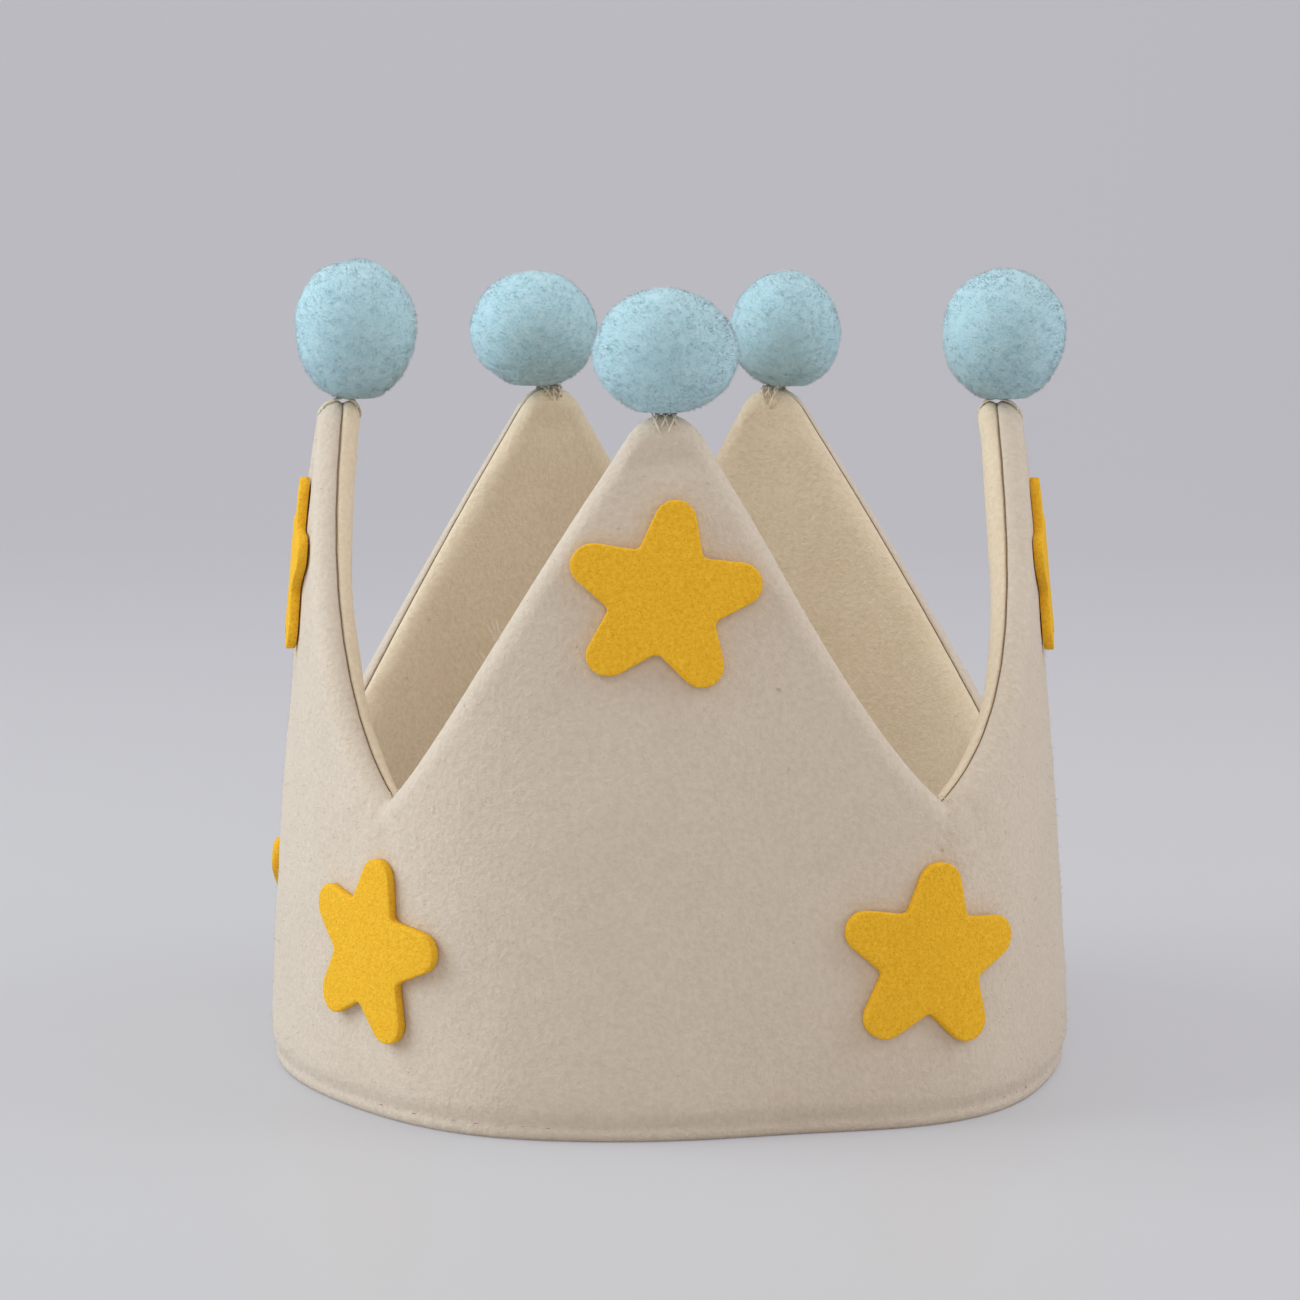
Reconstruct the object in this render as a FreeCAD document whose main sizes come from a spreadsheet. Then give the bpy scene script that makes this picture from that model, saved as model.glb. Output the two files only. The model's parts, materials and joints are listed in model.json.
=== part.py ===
import FreeCAD, Part

import math
import os

import Sketcher

# A child's padded party crown, sewn from cream felt.
# Millimetres, +Z up. The origin is the middle of the head opening at the level of the hem,
# the front of the crown faces -Y, and angles round the band are measured from the front,
# positive towards +X. The band is longer than one turn, so its two ends lap at the back.

Vector = FreeCAD.Vector

SIZES = {
    # Plan of the band at the hem, measured to the outer face
    "base_radius": 82.8,
    "sideways_shift": 0.3,
    "left_corner_angle": -26.5,
    "left_corner_bulge": 4.1,
    "right_corner_angle": 44,
    "right_corner_bulge": 4.8,
    "corner_spread": 18.7,
    "front_flat_angle": 17,
    "front_flat_depth": 2.5,
    "front_flat_spread": 14,
    # How far the wall leans in at the tips, and how much flatter than round the points are
    "inward_lean": 11,
    "lean_power": 1.5,
    "point_flatness": 7,
    # Lap of the two ends at the back
    "lap_start_angle": 120,
    "outer_lap_rise": 11.2,
    "inner_lap_fall": 9.8,
    # Outline of the points in the flat pattern
    "point_height": 136,
    "valley_height": 62,
    "point_slope": 1.49,
    "valley_slope": 0.8,
    "tip_radius": 9.8,
    "flare_start": 15,
    # Layers of the wall
    "outer_bulge": 4.8,
    "lining_bulge": 4.0,
    "felt_thickness": 1.5,
    "padding_clearance": 0.15,
    "seam_gap": 0.1,
    "edge_round": 4.5,
    "hem_reach": 9,
    # Closure strips between the laps
    "strip_length": 32,
    "strip_width": 25,
    "strip_thickness": 1.3,
    "strip_middle_angle": 184,
    "strip_middle_height": 32,
    "strip_seat": 0.45,
    # Foam stars
    "star_reach": 18.4,
    "star_waist": 10.2,
    "star_tip_radius": 4,
    "star_thickness": 2,
    "star_seat": 0.3,
    "upper_star_drop": 34,
    "lower_star_height": 33,
    # Pom-poms
    "pompom_flat": 0.8,
    "pompom_seat": 0.1,
    "pompom_lump": 0.035,
}

# Angles round the band: the points' tips, and the valleys and ends between them
PEAK_ANGLES = (-158, -84, -0.7, 83, 158.6)
VALLEY_ANGLES = (-200, -114, -40.9, 38.6, 115, 200)

# One line for each pom-pom: its point, width, height, and sideways and inward shift from the tip
POMPOMS = {
    "back_left": (0, 28.9, 26.6, 4.5, 0.0),
    "left": (1, 25.3, 29.5, 0.0, 2.7),
    "front": (2, 28.1, 24.4, 0.0, 0.0),
    "right": (3, 25.7, 27.5, 0.0, -1.4),
    "back_right": (4, 25.2, 26.6, -3.3, 0.0),
}

# One line for each star: its angle, whether it is on a point, and its turn on the wall in degrees
STARS = {
    "star_upper_back_left": (-158, True, 6),
    "star_upper_left": (-84, True, -4),
    "star_upper_front": (-0.7, True, -8),
    "star_upper_right": (83, True, 5),
    "star_upper_back_right": (158, True, -3),
    "star_lower_back_left": (-108, False, 3),
    "star_lower_left": (-42, False, -12),
    "star_lower_right": (34.7, False, -6),
    "star_lower_back_right": (120, False, 7),
    "star_lower_back": (-180, False, -5),
}

# Where the sections of one flank stand, as shares of the way from its tip to its valley
FLANK_STATIONS = (0, 0.07, 0.15, 0.28, 0.42, 0.6, 0.8, 1)
# Where the sections of a closed end stand, as shares of the rounding of the edge
END_STATIONS = (0, 0.1, 0.4, 1)
# How many of them the padding leaves out
PADDING_SKIPPED = 2
# The least fullness of a closed end, where only the two felts are left
END_FULLNESS = 0.05
# Steps of the quarter round along the top seam, in degrees, on the felt's face and inside it
FACE_STEPS = (0, 30, 60, 90)
INSIDE_STEPS = (0, 50, 90)
# Level of the fold line of the felt's face between its shoulder and the hem, as a share
FACE_WAISTS = (0.45,)
INSIDE_WAISTS = ()
# The hem's profile: share of the hem's reach above the floor, and share of the wall's bulge
FACE_HEM = ((1.0, 1.0), (0.3, 0.79), (0.12, 0.84), (0.0, 0.66))
INSIDE_HEM = ((1.0, 1.0), (0.0, 0.66))
# How far the felts are drawn below the floor before they are trimmed flat there
FLOOR_TRIM = 1
# Corners round a pom-pom, and the latitudes of its rings in degrees
POMPOM_CORNERS = 12
POMPOM_LATITUDES = (-42, -18, 6, 30, 54, 76)
# Step over which the direction of the wall is measured
SLOPE_STEP = 0.01
# Arms of a star
STAR_ARMS = 5
# One whole turn round the band, in degrees
TURN = 360


def make_sheet(doc):
    """The driving dimensions, each in a cell that carries its name."""
    sheet = doc.addObject("Spreadsheet::Sheet", "Sizes")
    for row, (name, value) in enumerate(SIZES.items(), start=1):
        sheet.set(f"A{row}", name)
        sheet.set(f"B{row}", str(value))
        sheet.setAlias(f"B{row}", name)
    doc.recompute()
    return sheet


class Wall:
    """The curved wall of the crown: its plan, its top edge and its section."""

    def __init__(self, sheet):
        for name in SIZES:
            setattr(self, name, sheet.get(name))

    def bump(self, angle, middle, height, spread):
        return height * math.exp(-((angle - middle) / spread) ** 2)

    def lap(self, angle):
        """How far the wall has left the round plan: the left end outwards, the right inwards."""
        past = abs(angle) - self.lap_start_angle
        if past <= 0:
            return 0
        whole = VALLEY_ANGLES[-1] - self.lap_start_angle
        share = (1 - math.cos(math.radians(past))) / (1 - math.cos(math.radians(whole)))
        return self.outer_lap_rise * share if angle < 0 else -self.inner_lap_fall * share

    def flank_share(self, angle):
        """Share of the way from the nearest tip to the valley beside it, and 0 on the laps."""
        for index, valley in enumerate(VALLEY_ANGLES[1:-1]):
            tip, next_tip = PEAK_ANGLES[index:index + 2]
            if tip <= angle <= valley:
                return (angle - tip) / (valley - tip)
            if valley <= angle <= next_tip:
                return (next_tip - angle) / (next_tip - valley)
        return 0

    def radius(self, angle, height):
        """Distance from the axis to the seam surface, midway between the two felts."""
        outer = self.base_radius + self.sideways_shift * math.sin(math.radians(angle))
        spread = self.corner_spread
        outer += self.bump(angle, self.left_corner_angle, self.left_corner_bulge, spread)
        outer += self.bump(angle, self.right_corner_angle, self.right_corner_bulge, spread)
        spread = self.front_flat_spread
        outer -= self.bump(angle, self.front_flat_angle, self.front_flat_depth, spread)
        rise = max(height, 0) / self.point_height
        lean = self.inward_lean * rise ** self.lean_power
        swing = math.sin(math.pi / 2 * self.flank_share(angle))
        flatness = self.point_flatness * rise * swing ** 2
        return outer - self.outer_bulge + self.lap(angle) + flatness - lean

    def point(self, angle, height, offset=0):
        """A point of the wall, a given distance outside the seam surface."""
        reach = self.radius(angle, height) + offset
        turn = math.radians(angle)
        return Vector(reach * math.sin(turn), -reach * math.cos(turn), height)

    def arc_degrees(self, length):
        """The angle of a length measured round the seam surface at the hem."""
        return math.degrees(length / (self.base_radius - self.outer_bulge))

    def arc_length(self, degrees):
        return math.radians(degrees) * (self.base_radius - self.outer_bulge)

    def edge(self, across, flank):
        """Height and slope of a point's edge, at a distance across from its tip."""
        lean_angle = math.atan(1 / self.point_slope)
        apex = self.point_height + self.tip_radius * (1 / math.sin(lean_angle) - 1)
        if across < self.tip_radius * math.cos(lean_angle):
            drop = math.sqrt(self.tip_radius ** 2 - across ** 2)
            return self.point_height - self.tip_radius + drop, across / drop
        if across <= self.flare_start:
            return apex - self.point_slope * across, self.point_slope
        start = apex - self.point_slope * self.flare_start
        run = flank - self.flare_start
        share = (across - self.flare_start) / run
        first, last = -self.point_slope * run, -self.valley_slope * run
        drop = start - self.valley_height
        bend = 2 * drop + first + last
        sag = -3 * drop - 2 * first - last
        height = start + share * (first + share * (sag + share * bend))
        slope = (first + share * (2 * sag + 3 * share * bend)) / run
        return height, -slope

    def skin(self, top, steepness, bulge, depth, steps, waists, hem):
        """One face of the wall from the top seam to the floor, as (offset, height) pairs.

        The face lies depth inside the felt's outer face. The wall swells from nothing at the
        seam to its bulge over a quarter round, and is drawn in at the stitching of the hem.
        """
        full = bulge - depth
        rounding = (self.edge_round - depth) * steepness
        start = top - depth * steepness
        pairs = []
        for step in steps:
            turn = math.radians(step)
            pairs.append((full * math.sin(turn), start - rounding * (1 - math.cos(turn))))
        for share in waists:
            pairs.append((full, share * start))
        for share, fullness in hem:
            pairs.append((full * fullness, depth + (self.hem_reach - depth) * share))
        return pairs


def flank_section(wall, peak, valley, share):
    """Angle, top height and steepness of one section of a flank."""
    angle = peak + (valley - peak) * share
    flank = wall.arc_length(abs(valley - peak))
    top, slope = wall.edge(flank * share, flank)
    return angle, top, math.hypot(1, slope)


def band_sections(wall, skipped):
    """The sections of the band from end to end: a list of (angle, top, steepness, fullness).

    The wall closes over the rounding of the edge at both ends. Skipped is how many of its
    outermost sections a layer leaves out there.
    """
    sections = []
    for index, peak in enumerate(PEAK_ANGLES):
        for share in reversed(FLANK_STATIONS):
            sections.append(flank_section(wall, peak, VALLEY_ANGLES[index], share) + (1,))
        for share in FLANK_STATIONS[1:-1]:
            sections.append(flank_section(wall, peak, VALLEY_ANGLES[index + 1], share) + (1,))
    limit = abs(VALLEY_ANGLES[0]) - wall.arc_degrees(wall.edge_round)
    sections = [section for section in sections if abs(section[0]) < limit]
    left = closed_end(wall, VALLEY_ANGLES[0], PEAK_ANGLES[0])[skipped:]
    right = closed_end(wall, VALLEY_ANGLES[-1], PEAK_ANGLES[-1])[skipped:]
    return left + sections + right[::-1]


def closed_end(wall, end, peak):
    """Sections of a closed end, from the end inwards, as the wall swells to its full bulge."""
    sections = []
    for share in END_STATIONS:
        swell = math.sqrt(1 - (1 - share) ** 2)
        back = wall.arc_degrees(wall.edge_round * share) / abs(end - peak)
        fullness = END_FULLNESS + (1 - END_FULLNESS) * swell
        sections.append(flank_section(wall, peak, end, 1 - back) + (fullness,))
    return sections


def outline(points):
    return Part.makePolygon(points + points[:1])


def felt_section(wall, section, bulge, side):
    """Closed outline of a sheet of felt on one side of the seam surface."""
    angle, top, steepness, fullness = section
    swell = wall.felt_thickness + (bulge - wall.felt_thickness) * fullness
    gap = wall.seam_gap / 2
    face = wall.skin(top, steepness, swell, 0, FACE_STEPS, FACE_WAISTS, FACE_HEM)
    depth = wall.felt_thickness
    inside = wall.skin(top, steepness, swell, depth, INSIDE_STEPS, INSIDE_WAISTS, INSIDE_HEM)
    floor = [(face[-1][0], -FLOOR_TRIM), (0, -FLOOR_TRIM)]
    pairs = face + floor + [(0, wall.felt_thickness)] + inside[::-1]
    return outline([wall.point(angle, height, side * (gap + offset)) for offset, height in pairs])


def padding_section(wall, section):
    """Closed outline of the padding between the two felts."""
    angle, top, steepness, fullness = section
    depth = wall.felt_thickness + wall.padding_clearance
    gap = wall.seam_gap / 2
    sides = []
    for bulge, side in ((wall.outer_bulge, 1), (wall.lining_bulge, -1)):
        swell = depth + (bulge - depth) * fullness
        pairs = wall.skin(top, steepness, swell, depth, INSIDE_STEPS, INSIDE_WAISTS, INSIDE_HEM)
        sides.append([wall.point(angle, height, side * (gap + offset)) for offset, height in pairs])
    front, back = sides
    return outline(front + back[::-1])


def add_shape(doc, name, shape):
    feature = doc.addObject("Part::Feature", name)
    feature.Label = name
    feature.Shape = shape
    return feature


def make_felt(doc, wall, name, bulge, side):
    """One of the two sheets of felt, trimmed flat where it stands on the floor."""
    wires = [felt_section(wall, section, bulge, side) for section in band_sections(wall, 0)]
    reach = 2 * wall.base_radius
    depth = 2 * FLOOR_TRIM
    below = Part.makeBox(2 * reach, 2 * reach, depth, Vector(-reach, -reach, -depth))
    return add_shape(doc, name, Part.makeLoft(wires, True, True).cut(below))


def make_padding(doc, wall):
    sections = band_sections(wall, PADDING_SKIPPED)
    wires = [padding_section(wall, section) for section in sections]
    return add_shape(doc, "padding", Part.makeLoft(wires, True, True))


def strip_section(wall, angle, near, far):
    """A rectangle across a closure strip, between two offsets from the seam surface."""
    low = wall.strip_middle_height - wall.strip_width / 2
    high = wall.strip_middle_height + wall.strip_width / 2
    corners = [
        wall.point(angle, low, near),
        wall.point(angle, low, far),
        wall.point(angle, high, far),
        wall.point(angle, high, near),
    ]
    return outline(corners)


def make_strip(doc, wall, name, middle, bulge, side):
    """A closure strip that follows the wall of its lap."""
    half = wall.arc_degrees(wall.strip_length / 2)
    near = side * (wall.seam_gap / 2 + bulge + wall.strip_seat)
    far = near + side * wall.strip_thickness
    angles = [middle + half * share for share in (-1, -0.5, 0, 0.5, 1)]
    wires = [strip_section(wall, angle, near, far) for angle in angles]
    return add_shape(doc, name, Part.makeLoft(wires, True, True))


def wall_frame(wall, angle, height, offset):
    """Placement with +Z out of the wall and +Y up it."""
    step = SLOPE_STEP
    along = wall.point(angle + step, height, offset) - wall.point(angle - step, height, offset)
    upward = wall.point(angle, height + step, offset) - wall.point(angle, height - step, offset)
    outward = along.cross(upward)
    rotation = FreeCAD.Rotation(along, upward, outward, "ZYX")
    return FreeCAD.Placement(wall.point(angle, height, offset), rotation)


def origin_plane(body, role):
    for feature in body.Origin.OriginFeatures:
        if feature.Role == role:
            return feature
    raise RuntimeError("no origin plane " + role)


def star_arm_sketch(body, wall):
    """One arm of the star: a kite from the middle, closed by a round tip."""
    sketch = body.newObject("Sketcher::SketchObject", body.Name + "_arm")
    sketch.AttachmentSupport = [(origin_plane(body, "XY_Plane"), "")]
    sketch.MapMode = "FlatFace"
    half_arm = math.pi / STAR_ARMS
    tip_radius = wall.star_tip_radius
    tip_middle = Vector(0, wall.star_reach - tip_radius, 0)
    corner = Vector(wall.star_waist * math.sin(half_arm), wall.star_waist * math.cos(half_arm), 0)
    to_tip = tip_middle - corner
    side_angle = math.atan2(to_tip.y, to_tip.x) - math.asin(tip_radius / to_tip.Length)
    touch_angle = side_angle - math.pi / 2
    touch = tip_middle + Vector(math.cos(touch_angle), math.sin(touch_angle), 0) * tip_radius
    mirrored_corner = Vector(-corner.x, corner.y, 0)
    mirrored_touch = Vector(-touch.x, touch.y, 0)
    tip_circle = Part.Circle(tip_middle, Vector(0, 0, 1), tip_radius)
    tip = Part.ArcOfCircle(tip_circle, touch_angle, math.pi - touch_angle)
    sketch.addGeometry(Part.LineSegment(Vector(0, 0, 0), corner))
    sketch.addGeometry(Part.LineSegment(corner, touch))
    sketch.addGeometry(tip)
    sketch.addGeometry(Part.LineSegment(mirrored_touch, mirrored_corner))
    sketch.addGeometry(Part.LineSegment(mirrored_corner, Vector(0, 0, 0)))
    start, end, middle = 1, 2, 3
    origin, upright = -1, -2
    rules = [
        Sketcher.Constraint("Coincident", 0, start, origin, 1),
        Sketcher.Constraint("Coincident", 0, end, 1, start),
        Sketcher.Constraint("Tangent", 1, end, 2, start),
        Sketcher.Constraint("Tangent", 2, end, 3, start),
        Sketcher.Constraint("Coincident", 3, end, 4, start),
        Sketcher.Constraint("Coincident", 4, end, 0, start),
        Sketcher.Constraint("PointOnObject", 2, middle, upright),
        Sketcher.Constraint("Symmetric", 0, end, 3, end, upright),
    ]
    for rule in rules:
        sketch.addConstraint(rule)
    named = {
        "waist": (
            Sketcher.Constraint("Distance", 0, wall.star_waist),
            "Sizes.star_waist",
        ),
        "tip_radius": (
            Sketcher.Constraint("Radius", 2, tip_radius),
            "Sizes.star_tip_radius",
        ),
        "tip_middle": (
            Sketcher.Constraint("DistanceY", origin, 1, 2, middle, tip_middle.y),
            "Sizes.star_reach - Sizes.star_tip_radius",
        ),
        "corner_width": (
            Sketcher.Constraint("DistanceX", 3, end, 0, end, 2 * corner.x),
            f"2 * Sizes.star_waist * sin(180deg / {STAR_ARMS})",
        ),
    }
    for name, (rule, expression) in named.items():
        number = sketch.addConstraint(rule)
        sketch.renameConstraint(number, name)
        sketch.setExpression("Constraints." + name, expression)
    return sketch


def make_star(doc, wall, name, angle, height, turn):
    """A five-armed star cut from foam sheet."""
    body = doc.addObject("PartDesign::Body", name)
    body.Label = name
    sketch = star_arm_sketch(body, wall)
    pad = body.newObject("PartDesign::Pad", name + "_sheet")
    pad.Profile = sketch
    pad.setExpression("Length", "Sizes.star_thickness")
    doc.recompute()
    arms = body.newObject("PartDesign::PolarPattern", name + "_arms")
    arms.Originals = [pad]
    arms.Axis = (sketch, ["N_Axis"])
    arms.Angle = TURN
    arms.Occurrences = STAR_ARMS
    body.Tip = arms
    offset = wall.seam_gap / 2 + wall.outer_bulge + wall.star_seat
    spin = FreeCAD.Placement(Vector(), FreeCAD.Rotation(Vector(0, 0, 1), turn))
    body.Placement = wall_frame(wall, angle, height, offset).multiply(spin)
    return body


def make_pompom(doc, wall, name, point, width, height, sideways, inward):
    """A trimmed ball of pile, a little lumpy, pressed flat where it sits on the felt."""
    tip = wall.point(PEAK_ANGLES[point] + wall.arc_degrees(sideways), wall.point_height, -inward)
    seat = wall.point_height + wall.pompom_seat
    middle = Vector(tip.x, tip.y, seat + height / 2 - wall.pompom_flat)
    low = math.degrees(-math.asin(1 - wall.pompom_flat / (height / 2)))
    rings = []
    for degrees in (low,) + POMPOM_LATITUDES:
        latitude = math.radians(degrees)
        swell = 1 + wall.pompom_lump * math.sin(3 * latitude + 2 * point)
        reach = width / 2 * math.cos(latitude) * swell
        rise = height / 2 * math.sin(latitude)
        sway = wall.pompom_lump * reach
        shift = Vector(sway * math.sin(4 * latitude + point), sway * math.cos(3 * latitude), rise)
        centre = middle + shift
        corners = []
        for corner in range(POMPOM_CORNERS):
            turn = math.tau * corner / POMPOM_CORNERS
            corners.append(centre + Vector(reach * math.cos(turn), reach * math.sin(turn), 0))
        rings.append(outline(corners))
    crown = Part.Vertex(middle + Vector(0, 0, height / 2))
    return add_shape(doc, "pompom_" + name, Part.makeLoft(rings + [crown], True, True))


def check(doc, pieces):
    """Every feature has recomputed, and every piece is one valid solid."""
    for item in doc.Objects:
        if "Invalid" in item.State or "Error" in item.State:
            raise RuntimeError(f"{item.Name} failed: {item.State}")
    for piece in pieces:
        shape = piece.Shape
        if shape.isNull() or not shape.isValid():
            raise RuntimeError(f"{piece.Label} has no valid shape")
        if len(shape.Solids) != 1 or shape.Volume <= 0:
            raise RuntimeError(f"{piece.Label} is not one solid")


def main():
    doc = FreeCAD.newDocument("crown")
    wall = Wall(make_sheet(doc))
    pieces = [
        make_felt(doc, wall, "outer_felt", wall.outer_bulge, 1),
        make_felt(doc, wall, "lining", wall.lining_bulge, -1),
        make_padding(doc, wall),
    ]
    inner_lap = wall.strip_middle_angle
    outer_lap = inner_lap - TURN
    pieces.append(make_strip(doc, wall, "hook_strip", inner_lap, wall.outer_bulge, 1))
    pieces.append(make_strip(doc, wall, "loop_strip", outer_lap, wall.lining_bulge, -1))
    on_points = wall.point_height - wall.upper_star_drop
    for name, (angle, on_point, turn) in STARS.items():
        height = on_points if on_point else wall.lower_star_height
        pieces.append(make_star(doc, wall, name, angle, height, turn))
    for name, sizes in POMPOMS.items():
        pieces.append(make_pompom(doc, wall, name, *sizes))
    doc.recompute()
    check(doc, pieces)
    os.makedirs("parts", exist_ok=True)
    for piece in pieces:
        piece.Shape.exportStep(f"parts/{piece.Label}.step")
        box = piece.Shape.BoundBox
        print(f"{piece.Label}: {piece.Shape.Volume:.0f} mm3, z {box.ZMin:.2f} to {box.ZMax:.2f}")


main()
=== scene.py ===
import json
import math

import bpy
import numpy as np
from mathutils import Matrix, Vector, noise

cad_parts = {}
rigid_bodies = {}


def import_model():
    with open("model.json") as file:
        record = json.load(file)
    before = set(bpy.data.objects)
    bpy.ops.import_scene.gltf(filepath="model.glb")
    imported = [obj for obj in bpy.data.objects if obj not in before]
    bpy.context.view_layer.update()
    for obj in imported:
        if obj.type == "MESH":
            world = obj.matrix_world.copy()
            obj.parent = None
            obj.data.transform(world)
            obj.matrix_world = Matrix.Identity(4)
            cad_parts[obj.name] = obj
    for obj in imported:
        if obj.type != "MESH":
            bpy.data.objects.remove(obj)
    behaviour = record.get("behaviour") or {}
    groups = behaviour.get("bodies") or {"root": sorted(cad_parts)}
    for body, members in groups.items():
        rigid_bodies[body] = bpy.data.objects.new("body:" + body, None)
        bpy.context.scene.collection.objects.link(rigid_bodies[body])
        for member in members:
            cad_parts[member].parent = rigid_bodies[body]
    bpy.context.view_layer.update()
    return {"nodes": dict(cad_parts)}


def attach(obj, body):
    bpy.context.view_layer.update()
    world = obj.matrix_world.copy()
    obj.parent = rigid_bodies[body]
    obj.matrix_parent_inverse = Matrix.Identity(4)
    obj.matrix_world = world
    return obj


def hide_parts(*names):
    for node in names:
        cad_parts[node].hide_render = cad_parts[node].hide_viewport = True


# A child's padded felt crown. Lengths below are in millimetres, and become metres in the meshes.
# Angles round the band are measured from the front, positive towards +X.

MM = 0.001

# Plan of the band and outline of its points
BASE_RADIUS = 82.8
SIDEWAYS_SHIFT = 0.3
CORNERS = ((-26.5, 4.1, 18.7), (44, 4.8, 18.7), (17, -2.5, 14))
INWARD_LEAN = 11
LEAN_POWER = 1.5
POINT_FLATNESS = 7
LAP_START = 120
OUTER_LAP_RISE = 11.2
INNER_LAP_FALL = 9.8
POINT_HEIGHT = 136
VALLEY_HEIGHT = 62
POINT_SLOPE = 1.49
VALLEY_SLOPE = 0.8
TIP_RADIUS = 9.8
FLARE_START = 15
PEAKS = (-158, -84, -0.7, 83, 158.6)
VALLEYS = (-200, -114, -40.9, 38.6, 115, 200)

# Layers of the wall
OUTER_BULGE = 4.8
LINING_BULGE = 4.0
FELT = 1.5
PADDING_DEPTH = 1.65
SEAM_GAP = 0.1
EDGE_ROUND = 4.5
HEM_REACH = 9
HEM_FULLNESS = ((0, 0.66), (0.12, 0.84), (0.3, 0.79), (0.62, 0.98), (1, 1))
HEM_STITCH_HEIGHT = 2.6
STITCH_PITCH = 4.4
TIP_CREASES = (0.7, 0.25, 1.0, 0.2, 0.3)
END_FULLNESS = 0.05

# Nap: thickness of a fibre, and how many stand on each felt
NAP_THICKNESS = 0.09
OUTER_NAP = 11000
LINING_NAP = 6000

# Ties under a pom-pom: where each starts and ends across the point, and how far down it runs
TIE_STITCHES = (
    (-2.6, -0.2, 4.6),
    (2.5, 0.1, 4.4),
    (-1.2, -2.2, 2.6),
    (1.3, 2.4, 2.4),
    (-0.4, 1.0, 3.1),
    (0.5, -1.1, 2.9),
)

# Loose fibres on the front point's left edge: distance from its tip, and that edge's length
FRAY_PLACE = 32.5
FRONT_FLANK = 54.7

# Foam stars
STAR_REACH = 18.4
STAR_WAIST = 10.2
STAR_TIP_RADIUS = 4
STAR_THICKNESS = 2
FACE_INSET = 0.8
STAR_BEND = 0.8
UPPER_STAR_HEIGHT = 102
LOWER_STAR_HEIGHT = 33
STARS = {
    "star_upper_back_left": (-158, UPPER_STAR_HEIGHT, 6),
    "star_upper_left": (-84, UPPER_STAR_HEIGHT, -4),
    "star_upper_front": (-0.7, UPPER_STAR_HEIGHT, -8),
    "star_upper_right": (83, UPPER_STAR_HEIGHT, 5),
    "star_upper_back_right": (158, UPPER_STAR_HEIGHT, -3),
    "star_lower_back_left": (-108, LOWER_STAR_HEIGHT, 3),
    "star_lower_left": (-42, LOWER_STAR_HEIGHT, -12),
    "star_lower_right": (34.7, LOWER_STAR_HEIGHT, -6),
    "star_lower_back_right": (120, LOWER_STAR_HEIGHT, 7),
    "star_lower_back": (-180, LOWER_STAR_HEIGHT, -5),
}

# Pom-poms: point, width, height, and sideways and inward shift from the tip
POMPOM_FLAT = 0.8
POMPOM_SEAT = 0.1
PILE = 1.5
PILE_FIBRES = 19000
CORE_DEPTH = 0.5
CORE_AROUND = 128
CORE_RINGS = 84
PILE_THICKNESS = 0.3
PILE_LIMIT = 1.06
POMPOMS = {
    "pompom_back_left": (0, 28.9, 26.6, 4.5, 0.0),
    "pompom_left": (1, 25.3, 29.5, 0.0, 2.7),
    "pompom_front": (2, 28.1, 24.4, 0.0, 0.0),
    "pompom_right": (3, 25.7, 27.5, 0.0, -1.4),
    "pompom_back_right": (4, 25.2, 26.6, -3.3, 0.0),
}

# Stage, in metres: share of the backdrop's colour that takes light and shadow, and its sweep
STAGE_SHARE = 0.3
STAGE_NEAR = (0.25, 0.25, 0.275)
STAGE_FAR = (0.29, 0.28, 0.32)
STAGE_FRONT = -1.6
STAGE_DEPTH = 1.6
STAGE_RISE = 1.6
STAGE_BEND = 0.5
STAGE_HALF_WIDTH = 2.2
FLOOR_GAP = 0.0001
WORLD_COLOUR = (1, 0.975, 0.95, 1)
WORLD_STRENGTH = 0.38
AIM = (0, 0, 0.07)

# Lamps: place and aim in metres, side of the square, power in watts and colour
LAMPS = {
    "key": ((-1.05, -0.1, 0.72), AIM, 1.0, 12, (0.88, 0.97, 1.0)),
    "fill": ((1.05, -0.1, 0.72), AIM, 1.0, 6.5, (0.95, 0.98, 1.0)),
    "front": ((0.0, -1.1, 0.62), AIM, 0.7, 2.2, (1.0, 0.86, 0.7)),
    "top": ((0.0, 0.1, 1.3), (0, 0, 0.05), 1.2, 3, (1.0, 0.98, 0.96)),
}

# Camera: lens and sensor in millimetres, place in metres, and pitch from straight down
CAMERA_LENS = 100
CAMERA_SENSOR = 36
CAMERA_PLACE = (-0.0037, -0.745, 0.1673)
CAMERA_PITCH = 83.6

rng = np.random.default_rng(7)


def lap(angle):
    """How far the wall has left the round plan where its two ends pass each other."""
    past = np.maximum(np.abs(angle) - LAP_START, 0)
    whole = VALLEYS[-1] - LAP_START
    share = (1 - np.cos(np.radians(past))) / (1 - math.cos(math.radians(whole)))
    return np.where(angle < 0, OUTER_LAP_RISE, -INNER_LAP_FALL) * share


def flank_share(angle):
    """Share of the way from the nearest tip to the valley beside it, and 0 on the laps."""
    marks, shares = [PEAKS[0]], [0]
    for valley, peak in zip(VALLEYS[1:-1], PEAKS[1:]):
        marks += [valley, peak]
        shares += [1, 0]
    return np.interp(angle, marks, shares)


def radius(angle, height):
    """Distance from the axis to the seam surface, midway between the two felts."""
    outer = BASE_RADIUS + SIDEWAYS_SHIFT * np.sin(np.radians(angle))
    for middle, swell, spread in CORNERS:
        outer = outer + swell * np.exp(-(((angle - middle) / spread) ** 2))
    rise = np.maximum(height, 0) / POINT_HEIGHT
    flatness = POINT_FLATNESS * rise * np.sin(np.pi / 2 * flank_share(angle)) ** 2
    return outer - OUTER_BULGE + lap(angle) + flatness - INWARD_LEAN * rise**LEAN_POWER


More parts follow.
